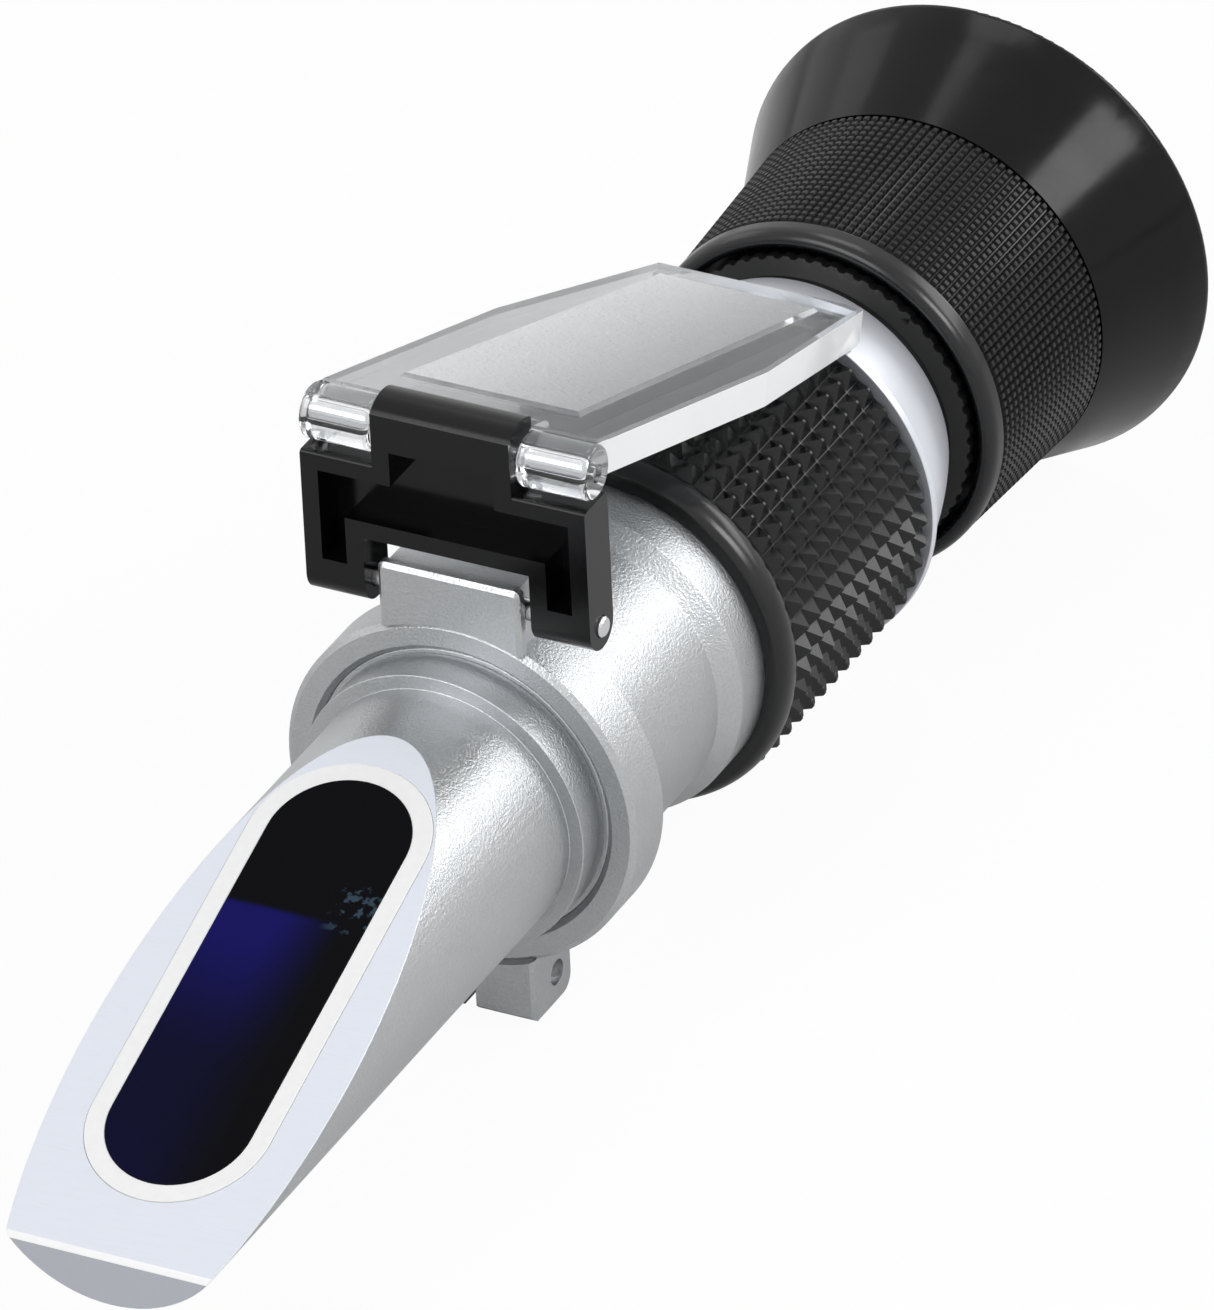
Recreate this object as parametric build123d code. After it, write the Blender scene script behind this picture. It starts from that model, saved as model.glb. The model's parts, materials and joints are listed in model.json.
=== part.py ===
from build123d import *
import os
from math import acos, asin, atan2, cos, degrees, hypot, pi, radians, sin, tan

# Handheld optical refractometer, drawn about its optical axis. Sizes are in millimetres.
# X is across the instrument and Z is up. Y runs along the optical axis from the prism nose
# towards the eyepiece, and y = 0 is the front face of the clamp collar.
# The last step moves every piece so that the model stands on z = 0, centred on x and y.

# Clearances
fit_gap = 0.02
turn_gap = 0.05
slide_gap = 0.08
side_gap = 0.3
overcut = 1.0

# Tubes, from the bore outwards
bore_radius = 10.6
neck_wall = 1.78
tube_wall = 1.4
seat_wall = 1.55
neck_radius = bore_radius + neck_wall
tube_radius = bore_radius + tube_wall
barrel_radius = tube_radius + fit_gap + seat_wall

# Prism housing: nose, flange and spigot
nose_radius = 10.8
nose_length = 54.73
flange_radius = 11.97
flange_reach = 3.04
flange_start = -flange_reach
tip = flange_start - nose_length
slope_lead = 6.76
slope_start = flange_start - slope_lead
slope_angle = 19.95
tip_chamfer = 0.35
spigot_length = 5.1
housing_bore = 8.2
seal_section = 0.45
seal_offset = 2.7

# Prism and its white seal, placed along the slope from where the slope starts
window_length = 39.2
window_half_width = 5.8
window_centre = 24.2
seal_border = 1.6
seal_depth = 1.3
prism_proud = 0.1
prism_depth = 18.0
prism_floor = 7.8
prism_exit = 2.2
mask_thickness = 0.8
mask_opening = 9.0
retainer_length = 2.2
retainer_wall = 1.3
spanner_slot = 1.2

# Clamp collar with the upper hinge lug and the lower clamping ears
collar_length = 4.71
collar_wall = 2.42
collar_chamfer = 0.45
collar_radius = neck_radius + fit_gap + collar_wall
lug_half_width = 6.0
lug_front = -0.3
lug_depth = 3.8
lug_height = 4.5
lug_round = 0.6
lug_waist = 0.5
tab_depth = 1.0
face_bevel = 0.35
ear_gap = 1.15
ear_width = 5.05
ear_depth = 6.0
ear_drop = 4.35
ear_round = 1.4
clamp_screw_radius = 1.0
clamp_screw_drop = 1.95
clamp_screw_setback = 3.8
screw_recess = 0.8
screw_slot = 0.45

# Hinged bracket that carries the daylight plate
pin_radius = 0.85
pin_overhang = 0.35
pin_bevel = 0.17
pin_above_collar = 2.08
bracket_half_width = 12.0
bracket_depth = 3.8
bracket_height = 10.9
bracket_round = 0.35
notch_half_width = 7.0
notch_height = 4.3
pocket_depth = 2.9
pocket_rim = 1.45
pocket_foot = 1.65
pin_y = lug_front + lug_depth / 2
pin_z = collar_radius + pin_above_collar

# Plate hinge on top of the bracket
link_rise = 13.3
link_setback = 0.3
crown_radius = 3.1
crown_skin = 0.2
knuckle_radius = 2.2
knuckle_round = 0.5
knuckle_half_width = 5.85
plate_pin_radius = 0.7
hinge_y = pin_y + link_setback
hinge_z = pin_z + link_rise

# Daylight plate, measured from its hinge axis
plate_half_width = 11.7
plate_knuckle_reach = 12.1
plate_length = 52.56
plate_bend = 29.76
plate_end_half_width = 8.85
plate_top = 2.4
plate_thickness = 3.0
plate_web = 0.56
plate_near = 0.4
plate_edge = 0.25
pad_height = 0.3
pad_start = 5.56
pad_end = 48.56
pad_half_width = 7.6
pad_end_half_width = 6.9
film_gap = 0.25

# Barrel and rubber grip
collar_inset = 0.4
neck_length = 18.47
barrel_step = 1.83
barrel_length = 49.4
tube_seat = 7.85
barrel_start = collar_inset
neck_end = barrel_start + neck_length
barrel_end = barrel_start + barrel_length
grip_length = 25.25
grip_bead_length = 3.1
grip_bead_height = 1.66
grip_rows = 11
stud_height = 1.0
grip_root_wall = 0.92
grip_start = barrel_end - fit_gap - grip_length
grip_root = barrel_radius + fit_gap + grip_root_wall
grip_radius = grip_root + stud_height

# Aluminium ring behind the grip
rear_ring_length = 9.31
rear_rim_height = 1.99
rear_rim_width = 0.75
rear_ring_step = 0.66
rear_ring_lip = 0.35
rear_ring_bulge = 0.3
rear_rim = barrel_radius + rear_rim_height
rear_ring_end = barrel_end + rear_ring_length

# Eyepiece tube, serrated ring and focusing travel
tube_reach = 13.9
serrated_offset = 0.85
serrated_length = 1.65
serrated_width = 1.32
serration_count = 60
serration_depth = 0.2
serration_radius = 0.58
focus_forward = 1.5
focus_backward = 3.0
tube_start = barrel_end - tube_seat
tube_end = rear_ring_end + tube_reach
serrated_start = rear_ring_end + serrated_offset
serrated_radius = tube_radius + fit_gap + serrated_width

# Sliding eyepiece cell with its lenses
cell_front_length = 13.5
cell_wall = 1.2
cell_flange = 1.2
cell_flange_height = 1.9
cell_tail_radius = 11.6
cell_tail_length = 2.75
cell_lip = 1.0
cell_reserve = 0.5
lens_edge = 1.6
field_crown = 1.4
eye_crown = 1.5
shallow_crown = 0.3
lens_ring_length = 1.45
key_radius = 0.95
key_ahead = 7.0
cell_play = 0.05
cell_radius = bore_radius - slide_gap
cell_bore = cell_radius - cell_wall
cell_seat = tube_end + focus_forward + cell_reserve
cell_flange_radius = tube_radius + cell_flange_height
cell_start = cell_seat + cell_play - cell_front_length
cell_end = cell_seat + cell_play + cell_flange + cell_tail_length
lens_radius = cell_bore - turn_gap
lens_seat = cell_lip + turn_gap
key_y = cell_seat - key_ahead

# Focusing ring and eyecup
focus_gap = 0.06
focus_wall = 3.25
focus_flare = 0.78
focus_bead_length = 2.4
focus_lead = 1.0
focus_recess = 2.6
knurl_rows = 21
knurl_depth = 0.28
knurl_flat = 0.3
keeper_length = 0.95
cup_spigot = 1.8
cup_spigot_wall = 1.5
cup_length = 11.18
cup_flare = 3.97
cup_wall = 1.4
cup_web = 1.1
cup_opening = 9.0
cup_round = 0.35
cup_land = 0.8
focus_start = serrated_start + focus_lead
keeper_start = cell_seat + cell_flange + 2 * cell_play
focus_end = keeper_start + keeper_length + cell_play + cup_spigot
focus_radius = tube_radius + focus_wall
focus_rear_radius = focus_radius + focus_flare
counterbore_radius = cell_flange_radius + turn_gap * 2
cup_start = focus_end + fit_gap
cup_end = cup_start + cup_length
cup_radius = focus_rear_radius + cup_flare

# Reticle, baffle and objective
reticle_offset = 10.0
reticle_ring_length = 5.5
reticle_ring_wall = 1.9
reticle_thickness = 1.1
reticle_seat = 3.4
baffle_thickness = 1.0
baffle_length = 5.0
baffle_wall = 0.7
baffle_opening = 7.5
objective_offset = 5.6
objective_cell_length = 6.0
objective_cell_wall = 1.45
objective_radius = 7.5
objective_edge = 1.4
objective_crown = 0.9
objective_lip = 0.7

# Calibration adjuster under its rubber cap
adjuster_offset = 4.0
adjuster_screw_radius = 1.0
adjuster_head_radius = 1.9
adjuster_head_height = 1.2
bush_wall = 0.9
bush_foot = 1.1
bush_above_neck = 0.9
block_half_width = 2.5
block_length = 5.6
block_height = 2.6
block_below_bore = 1.4
strip_thickness = 0.5
strip_overhang = 0.2
rivet_radius = 0.4
rivet_head = 0.2
rivet_head_radius = 0.64
rivet_grip = 1.0
guide_margin = 1.0
guide_wall = 3.3
cap_wall = 0.75
cap_top = 0.9
adjuster_y = barrel_start + spigot_length + adjuster_offset
bush_radius = adjuster_head_radius + turn_gap * 2 + bush_wall
bush_bottom = bore_radius + 2 * turn_gap
bush_top = neck_radius + bush_above_neck
head_seat = bush_bottom + bush_foot
block_top = bore_radius - block_below_bore
objective_start = adjuster_y + block_length / 2 + guide_margin + objective_offset
objective_cell_radius = objective_radius + turn_gap + objective_cell_wall


# Working out the two resting angles of the daylight plate
def fold_angle():
    """Angle below level at which the open plate just clears the rim behind the grip."""
    reach = barrel_end + rear_rim_width - hinge_y
    drop = rear_rim + side_gap + plate_web - hinge_z
    return degrees(asin(plate_top / hypot(reach, drop)) - atan2(drop, reach))


def closing_angle():
    """Turn of the bracket that lays the plate's pad just above the prism face."""
    slope = radians(slope_angle)
    normal_y = -sin(slope)
    normal_z = cos(slope)
    pin_height = normal_y * (pin_y - slope_start) + normal_z * (pin_z - nose_radius)
    level_part = normal_y * link_setback + normal_z * link_rise
    upright_part = normal_z * link_setback - normal_y * link_rise
    wanted = plate_top + pad_height + film_gap + prism_proud - pin_height
    lean = acos(wanted / hypot(level_part, upright_part))
    return degrees(atan2(upright_part, level_part) + lean)


open_angle = fold_angle()
bracket_swing = closing_angle()
plate_swing = 180 + slope_angle + open_angle - bracket_swing

slope_plane = Plane(
    origin=(0, slope_start, nose_radius),
    x_dir=(1, 0, 0),
    z_dir=(0, -sin(radians(slope_angle)), cos(radians(slope_angle))),
)
plate_plane = Plane(
    origin=(0, hinge_y, hinge_z),
    x_dir=(1, 0, 0),
    z_dir=(0, sin(radians(open_angle)), cos(radians(open_angle))),
)


# Shapes used again and again
def turned(*outline):
    """Solid turned about the optical axis from (radius, y) points."""
    return revolve(make_face(Polyline(*outline, close=True)), Axis.Y)


def ring(start, end, outer, inner=0.0):
    """Plain ring or disc about the optical axis."""
    return turned((inner, start), (outer, start), (outer, end), (inner, end))


def bar(low, high):
    """Rectangular block between two corners."""
    size = [top - bottom for bottom, top in zip(low, high)]
    return Pos(*low) * Box(*size, align=(Align.MIN, Align.MIN, Align.MIN))


def cross_rod(left, right, y, z, radius):
    """Round rod across the instrument."""
    rod = Cylinder(radius, right - left, align=(Align.CENTER, Align.CENTER, Align.MIN))
    return Pos(left, y, z) * Rot(0, 90, 0) * rod


def upright_rod(bottom, top, y, radius):
    """Round rod standing on the instrument's centre line."""
    rod = Cylinder(radius, top - bottom, align=(Align.CENTER, Align.CENTER, Align.MIN))
    return Pos(0, y, bottom) * rod


def lens(start, edge, radius, seat, front_crown, rear_crown):
    """Glass disc with a domed face at each end, and a flat rim that its seats touch."""
    end = start + edge
    dome = radius - seat
    front = TangentArc((0, start - front_crown), (dome, start), tangent=(1, 0))
    rear = TangentArc((0, end + rear_crown), (dome, end), tangent=(1, 0))
    axis = Line((0, start - front_crown), (0, end + rear_crown))
    rim = Polyline((dome, start), (radius, start), (radius, end), (dome, end))
    return revolve(make_face([axis, front, rim, rear]), Axis.Y)


def window_block(grow, top, bottom):
    """Round-ended block standing square to the slope, between two heights above it."""
    outline = SlotOverall(window_length + 2 * grow, 2 * (window_half_width + grow))
    face = slope_plane * Pos(0, -window_centre, bottom) * Rot(0, 0, 90) * outline
    return extrude(face, amount=top - bottom)


def prism_room(grow):
    """Space of the prism below the slope, cut by its floor and its exit face."""
    column = window_block(grow, -seal_depth, -prism_depth)
    low = (-nose_radius, tip, -prism_floor - grow)
    high = (nose_radius, slope_start - prism_exit, nose_radius)
    return column & bar(low, high)


def slope_height(y):
    """Height of the sloping face above the optical axis."""
    return nose_radius + (y - slope_start) * tan(radians(slope_angle))


# Prism housing group
def prism_housing():
    spigot_end = barrel_start + spigot_length
    spigot_radius = bore_radius - fit_gap
    groove_floor = bore_radius - 2 * seal_section - 2 * fit_gap
    groove_start = barrel_start + seal_offset - seal_section - turn_gap
    groove_end = barrel_start + seal_offset + seal_section + turn_gap
    body = turned(
        (0, tip),
        (nose_radius, tip),
        (nose_radius, flange_start),
        (flange_radius, flange_start),
        (flange_radius, barrel_start),
        (spigot_radius, barrel_start),
        (spigot_radius, groove_start),
        (groove_floor, groove_start),
        (groove_floor, groove_end),
        (spigot_radius, groove_end),
        (spigot_radius, spigot_end),
        (0, spigot_end),
    )
    above_slope = Box(
        4 * nose_radius,
        2 * nose_length,
        2 * nose_radius,
        align=(Align.CENTER, Align.MAX, Align.MIN),
    )
    body -= slope_plane * above_slope
    edges = body.edges().filter_by(GeomType.LINE)
    tip_edges = edges.filter_by(lambda e: abs(e.center().Y - tip) < fit_gap)
    body = chamfer(tip_edges.sort_by(Axis.Z)[-1], tip_chamfer)
    body -= window_block(seal_border, seal_depth, -seal_depth)
    body -= prism_room(fit_gap)
    body -= ring(slope_start - prism_exit, spigot_end, housing_bore)
    return body


def main_prism():
    return window_block(0, prism_proud, -seal_depth) + prism_room(0)


def prism_bezel():
    outer = window_block(seal_border - fit_gap, prism_proud / 2, -seal_depth)
    return outer - window_block(fit_gap, seal_depth, -2 * seal_depth)


def mask_start():
    return slope_start - prism_exit + fit_gap


def prism_mask():
    start = mask_start()
    plate = ring(start, start + mask_thickness, housing_bore - fit_gap)
    half = mask_opening / 2
    return plate - bar((-half, start - overcut, -half), (half, start + mask_thickness + overcut, half))


def prism_retainer():
    start = mask_start() + mask_thickness
    end = start + retainer_length
    outer = housing_bore - fit_gap
    body = ring(start, end, outer, outer - retainer_wall)
    half = spanner_slot / 2
    return body - bar((-outer, end - spanner_slot, -half), (outer, end + overcut, half))


def housing_seal():
    section = Pos(bore_radius - seal_section - fit_gap, barrel_start + seal_offset)
    return revolve(section * Circle(seal_section), Axis.Y)


# Clamp collar group
def clamp_collar():
    bore = neck_radius + fit_gap
    body = turned(
        (bore + collar_chamfer, 0),
        (collar_radius - collar_chamfer, 0),
        (collar_radius, collar_chamfer),
        (collar_radius, collar_length),
        (bore, collar_length),
        (bore, collar_chamfer),
    )
    blocks = hinge_lug() + clamp_ears()
    blocks -= ring(lug_front - overcut, lug_front + ear_depth + overcut, bore + fit_gap)
    blocks -= ring(lug_front - overcut, collar_chamfer, collar_radius)
    half_gap = ear_gap / 2
    slit_low = (-half_gap, -overcut, -collar_radius - overcut)
    body -= bar(slit_low, (half_gap, collar_length + overcut, -bore_radius))
    body += blocks
    reach = half_gap + ear_width + overcut
    body -= cross_rod(-reach, reach, clamp_y(), clamp_z(), clamp_screw_radius + turn_gap)
    reach = lug_half_width + overcut
    return body - cross_rod(-reach, reach, pin_y, pin_z, pin_radius + fit_gap)


def hinge_lug():
    """Upper lug: a flat tab in front, and a slightly narrower body that takes the pin."""
    top = collar_radius + lug_height
    tab_back = lug_front + tab_depth
    tab = bar((-lug_half_width, lug_front, 0), (lug_half_width, tab_back, top))
    tab = fillet(tab.edges().filter_by(Axis.Y).sort_by(Axis.Z)[-2:], lug_round)
    tab = chamfer(tab.faces().sort_by(Axis.Y)[0].edges(), face_bevel)
    half = lug_half_width - lug_waist
    body = bar((-half, tab_back, 0), (half, lug_front + lug_depth, top - lug_waist / 2))
    return tab + fillet(body.edges().filter_by(Axis.X).sort_by(Axis.Z)[-1], lug_round)


def clamp_ears():
    """The two lower ears that the clamp screw draws together."""
    bottom = -collar_radius - ear_drop
    reach = ear_gap / 2 + ear_width
    back = lug_front + ear_depth
    ears = bar((-reach, lug_front, bottom), (reach, back, 0))
    low_edges = ears.edges().filter_by(Axis.X).sort_by(Axis.Z)[:2]
    ears = fillet(low_edges.sort_by(Axis.Y)[-1], ear_round)
    ears = chamfer(ears.faces().sort_by(Axis.Y)[0].edges(), face_bevel)
    half_gap = ear_gap / 2
    gap_low = (-half_gap, lug_front - overcut, bottom - overcut)
    return ears - bar(gap_low, (half_gap, back + overcut, overcut))


def clamp_y():
    return lug_front + clamp_screw_setback


def clamp_z():
    return -collar_radius - clamp_screw_drop


def clamp_screw():
    reach = ear_gap / 2 + ear_width - screw_recess
    screw = cross_rod(-reach, reach, clamp_y(), clamp_z(), clamp_screw_radius)
    across = clamp_screw_radius + overcut
    slot_low = (reach - screw_slot, clamp_y() - across, clamp_z() - screw_slot / 2)
    slot_high = (reach + overcut, clamp_y() + across, clamp_z() + screw_slot / 2)
    return screw - bar(slot_low, slot_high)


def bracket_pin():
    reach = bracket_half_width + pin_overhang
    pin = cross_rod(-reach, reach, pin_y, pin_z, pin_radius)
    return chamfer(pin.edges().filter_by(GeomType.CIRCLE), pin_bevel)


# Flap bracket group
def flap_bracket():
    front = pin_y - bracket_depth / 2
    back = pin_y + bracket_depth / 2
    top = pin_z + bracket_height
    half = bracket_half_width
    body = bar((-half, front, pin_z), (half, back, top))
    body += cross_rod(-half, half, pin_y, pin_z, bracket_depth / 2)
    body = fillet(body.edges().filter_by(Axis.X).sort_by(Axis.Z)[-2:], bracket_round)
    body += bracket_crown(front, back, top - bracket_round)
    body -= bar(
        (-notch_half_width, front - overcut, pin_z - bracket_depth),
        (notch_half_width, back + overcut, pin_z + notch_height),
    )
    body -= bracket_pocket(front)
    reach = half + overcut
    body -= cross_rod(-reach, reach, pin_y, pin_z, pin_radius + turn_gap)
    return body - cross_rod(-reach, reach, hinge_y, hinge_z, plate_pin_radius + fit_gap)


def bracket_crown(front, back, bottom):
    """Block between the plate's knuckles, round on top and flush with the bracket."""
    half = knuckle_half_width
    crown = cross_rod(-half, half, hinge_y, hinge_z, crown_radius)
    crown += bar((-half, front, bottom), (half, back, hinge_z))
    return crown & bar((-half, front, bottom), (half, back, hinge_z + crown_radius))


def bracket_pocket(front):
    """Sunk panel on the bracket's front, which follows the bracket's outline."""
    floor = front + pocket_depth
    outer = bracket_half_width - pocket_rim
    inner = notch_half_width + pocket_rim
    upper = knuckle_half_width - pocket_rim
    bridge = pin_z + notch_height + pocket_rim
    shoulder = pin_z + bracket_height - pocket_rim
    crown = hinge_z - plate_pin_radius - crown_skin
    foot = pin_z + pocket_foot
    opening = front - overcut
    pocket = bar((-outer, opening, bridge), (outer, floor, shoulder))
    pocket += bar((-upper, opening, bridge), (upper, floor, crown))
    for side in (-1, 1):
        leg = sorted((side * inner, side * outer))
        pocket += bar((leg[0], opening, foot), (leg[1], floor, shoulder))
    return pocket


def plate_pin():
    reach = plate_knuckle_reach - side_gap
    return cross_rod(-reach, reach, hinge_y, hinge_z, plate_pin_radius)


# Daylight plate
def plate_outline():
    right = [
        (plate_half_width, plate_near),
        (plate_half_width, plate_bend),
        (plate_end_half_width, plate_length),
    ]
    left = [(-x, y) for x, y in reversed(right)]
    return make_face(Polyline(*right, *left, close=True))


def plate_pad():
    """Raised frosted pad with bevelled sides that spreads the sample."""
    right = [(pad_half_width, pad_start), (pad_end_half_width, pad_end)]
    left = [(-x, y) for x, y in reversed(right)]
    outline = make_face(Polyline(*right, *left, close=True))
    return extrude(Pos(0, 0, plate_top) * outline, amount=pad_height, taper=45)


def daylight_plate():
    inner_face = knuckle_half_width + side_gap
    underside = plate_top - plate_thickness
    slab = extrude(Pos(0, 0, underside) * plate_outline(), amount=plate_thickness)
    slab = chamfer(slab.faces().sort_by(Axis.Z)[-1].edges(), plate_edge)
    slab += plate_pad()
    slab -= cross_rod(-inner_face, inner_face, 0, 0, crown_radius + side_gap)
    for side in (-1, 1):
        near, far = sorted((side * inner_face, side * plate_knuckle_reach))
        knuckle = cross_rod(near, far, 0, 0, knuckle_radius)
        slab += fillet(knuckle.edges().filter_by(GeomType.CIRCLE), knuckle_round)
        near, far = sorted((side * inner_face, side * plate_half_width))
        slab += bar((near, 0, underside), (far, knuckle_radius, knuckle_radius))
    reach = plate_knuckle_reach + overcut
    slab -= cross_rod(-reach, reach, 0, 0, plate_pin_radius + turn_gap)
    relief = ring(hinge_y, hinge_y + 2 * plate_length, rear_rim + side_gap)
    return plate_plane * slab - relief


# Barrel and grip
def barrel():
    seat = tube_radius + fit_gap
    body = turned(
        (bore_radius, barrel_start),
        (neck_radius, barrel_start),
        (neck_radius, neck_end),
        (barrel_radius, neck_end + barrel_step),
        (barrel_radius, barrel_end),
        (seat, barrel_end),
        (seat, tube_start - fit_gap),
        (bore_radius, tube_start - fit_gap),
    )
    return body - upright_rod(0, 2 * neck_radius, adjuster_y, bush_radius + fit_gap)


def grip_sleeve():
    """Rubber sleeve: a smooth bead, then rows of pointed ribs."""
    inner = barrel_radius + fit_gap
    bead_end = grip_start + grip_bead_length
    end = grip_start + grip_length
    row = (end - bead_end) / grip_rows
    bead = ThreePointArc(
        (inner, grip_start),
        (inner + grip_bead_height, (grip_start + bead_end) / 2),
        (grip_root, bead_end),
    )
    outline = [(grip_root, bead_end)]
    for number in range(grip_rows):
        outline.append((grip_radius, bead_end + (number + 0.5) * row))
        outline.append((grip_root, bead_end + (number + 1) * row))
    outline += [(inner, end), (inner, grip_start)]
    return revolve(make_face([bead, Polyline(*outline)]), Axis.Y)


def rear_ring():
    inner = tube_radius + fit_gap
    shoulder = rear_rim - rear_ring_step
    shoulder_y = barrel_end + rear_rim_width + rear_ring_step / 3
    lip = inner + rear_ring_lip
    middle = ((shoulder + lip) / 2 + rear_ring_bulge, (shoulder_y + rear_ring_end) / 2)
    front = Polyline(
        (lip, rear_ring_end),
        (inner, rear_ring_end),
        (inner, barrel_end),
        (rear_rim, barrel_end),
        (rear_rim, barrel_end + rear_rim_width),
        (shoulder, barrel_end + rear_rim_width),
        (shoulder, shoulder_y),
    )
    taper = ThreePointArc((shoulder, shoulder_y), middle, (lip, rear_ring_end))
    return revolve(make_face([front, taper]), Axis.Y)


# Eyepiece tube and what is fixed in it
def eyepiece_tube():
    tube = ring(tube_start, tube_end, tube_radius, bore_radius)
    half = key_radius + slide_gap
    slot_low = (-half, key_y - focus_forward - half, -tube_radius - overcut)
    slot_high = (half, key_y + focus_backward + half, 0)
    return tube - bar(slot_low, slot_high)


def serrated_ring():
    inner = tube_radius + fit_gap
    end = serrated_start + serrated_length
    body = turned(
        (inner, serrated_start),
        (serrated_radius, serrated_start + serrated_offset),
        (serrated_radius, end),
        (inner, end),
    )
    cutter_place = serrated_radius + serration_radius - serration_depth
    cutter = Rot(-90, 0, 0) * Cylinder(serration_radius, 4 * serrated_length)
    cutter = Pos(cutter_place, serrated_start, 0) * cutter
    cutters = [Rot(0, 360 * i / serration_count, 0) * cutter for i in range(serration_count)]
    return body - cutters


def reticle_ring():
    start = tube_start + reticle_offset
    end = start + reticle_ring_length
    outer = bore_radius - fit_gap
    inner = outer - reticle_ring_wall
    seat = start + reticle_seat
    glass = reticle_radius() + turn_gap
    return turned(
        (inner, start), (outer, start), (outer, end), (glass, end), (glass, seat), (inner, seat)
    )


def reticle_radius():
    return bore_radius - reticle_ring_wall / 2


def reticle():
    start = tube_start + reticle_offset + reticle_seat + fit_gap
    return ring(start, start + reticle_thickness, reticle_radius())


def reticle_retainer():
    start = tube_start + reticle_offset + reticle_seat + reticle_thickness + 2 * fit_gap
    inner = bore_radius - reticle_ring_wall
    return ring(start, tube_start + reticle_offset + reticle_ring_length, reticle_radius(), inner)


def baffle_ring():
    end = tube_start - fit_gap
    start = end - baffle_length
    outer = bore_radius - fit_gap
    return turned(
        (baffle_opening, start),
        (outer, start),
        (outer, end),
        (outer - baffle_wall, end),
        (outer - baffle_wall, start + baffle_thickness),
        (baffle_opening, start + baffle_thickness),
    )


# Objective carried by the bimetal strip
def objective_cell():
    seat = objective_radius + turn_gap
    end = objective_start + objective_cell_length
    body = turned(
        (objective_radius - objective_lip, objective_start),
        (objective_cell_radius, objective_start),
        (objective_cell_radius, end),
        (seat, end),
        (seat, objective_start + objective_lip),
        (objective_radius - objective_lip, objective_start + objective_lip),
    )
    half = block_half_width - strip_overhang
    pad = bar((-half, objective_start, seat + fit_gap), (half, end, block_top))
    body += pad - ring(objective_start - overcut, end + overcut, seat)
    for place in rivet_places()[1:]:
        body -= upright_rod(seat, block_top + overcut, place, rivet_radius + fit_gap)
    return body


def objective_lens():
    start = objective_start + objective_lip + fit_gap
    seat = objective_lip + turn_gap
    return lens(
        start, objective_edge, objective_radius, seat, objective_crown, objective_crown
    )


def objective_retainer():
    start = objective_start + objective_lip + objective_edge + 2 * fit_gap
    end = objective_start + objective_cell_length - fit_gap
    return ring(start, end, objective_radius, objective_radius - objective_lip)


def adjuster_block():
    low = (-block_half_width, adjuster_y - block_length / 2, block_top - block_height)
    high = (block_half_width, adjuster_y + block_length / 2, block_top)
    body = bar(low, high)
    body -= upright_rod(0, neck_radius, adjuster_y, adjuster_screw_radius + turn_gap)
    place = rivet_places()[0]
    hole_bottom = block_top - rivet_grip
    return body - upright_rod(hole_bottom, neck_radius, place, rivet_radius + fit_gap)


def rivet_places():
    """Distances along the axis of the rivets: one in the block, two in the lens cell."""
    block_rivet = adjuster_y + block_length / 2 - 2 * rivet_radius
    first = objective_start + objective_cell_length / 4
    second = objective_start + objective_cell_length * 3 / 4
    return [block_rivet, first, second]


def bimetal_strip():
    half = block_half_width - strip_overhang
    low = (-half, adjuster_y - block_length / 2, block_top)
    high = (half, objective_start + objective_cell_length, block_top + strip_thickness)
    body = bar(low, high)
    body -= upright_rod(0, neck_radius, adjuster_y, adjuster_screw_radius + side_gap)
    for place in rivet_places():
        body -= upright_rod(block_top - overcut, neck_radius, place, rivet_radius + fit_gap)
    return body


def strip_rivets():
    top = block_top + strip_thickness
    seat = objective_radius + turn_gap + fit_gap
    rivets = []
    for number, place in enumerate(rivet_places()):
        bottom = block_top - rivet_grip + fit_gap if number == 0 else seat + fit_gap
        shank = upright_rod(bottom, top, place, rivet_radius)
        rivets.append(shank + upright_rod(top, top + rivet_head, place, rivet_head_radius))
    return Compound(rivets)


def guide_ring():
    outer = bore_radius - fit_gap
    start = adjuster_y - block_length / 2 - guide_margin + fit_gap
    end = adjuster_y + block_length / 2 + guide_margin
    half = block_half_width + slide_gap
    body = ring(start, end, outer, outer - guide_wall)
    return body - bar((-half, start - overcut, 0), (half, end + overcut, outer + overcut))


# Calibration screw, bush and cap
def calibration_bush():
    body = upright_rod(bush_bottom, bush_top, adjuster_y, bush_radius)
    body -= upright_rod(0, 2 * neck_radius, adjuster_y, adjuster_screw_radius + turn_gap)
    head_room = adjuster_head_radius + 2 * turn_gap
    return body - upright_rod(head_seat, 2 * neck_radius, adjuster_y, head_room)


def calibration_screw():
    head_bottom = head_seat + turn_gap
    head_top = head_bottom + adjuster_head_height
    shank_bottom = block_top - block_height + strip_overhang
    body = upright_rod(shank_bottom, head_bottom, adjuster_y, adjuster_screw_radius)
    body += upright_rod(head_bottom, head_top, adjuster_y, adjuster_head_radius)
    reach = adjuster_head_radius + 1
    slot_low = (-reach, adjuster_y - screw_slot / 2, head_top - screw_slot)
    slot_high = (reach, adjuster_y + screw_slot / 2, head_top + overcut)
    return body - bar(slot_low, slot_high)


def calibration_cap():
    inner = bush_radius + turn_gap
    bottom = neck_radius + turn_gap * 2
    inside_top = bush_top + turn_gap * 2
    outer = inner + cap_wall
    body = upright_rod(bottom, inside_top + cap_top, adjuster_y, outer)
    body = fillet(body.edges().filter_by(GeomType.CIRCLE).sort_by(Axis.Z)[-1], cap_top / 2)
    return body - upright_rod(0, inside_top, adjuster_y, inner)


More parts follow.
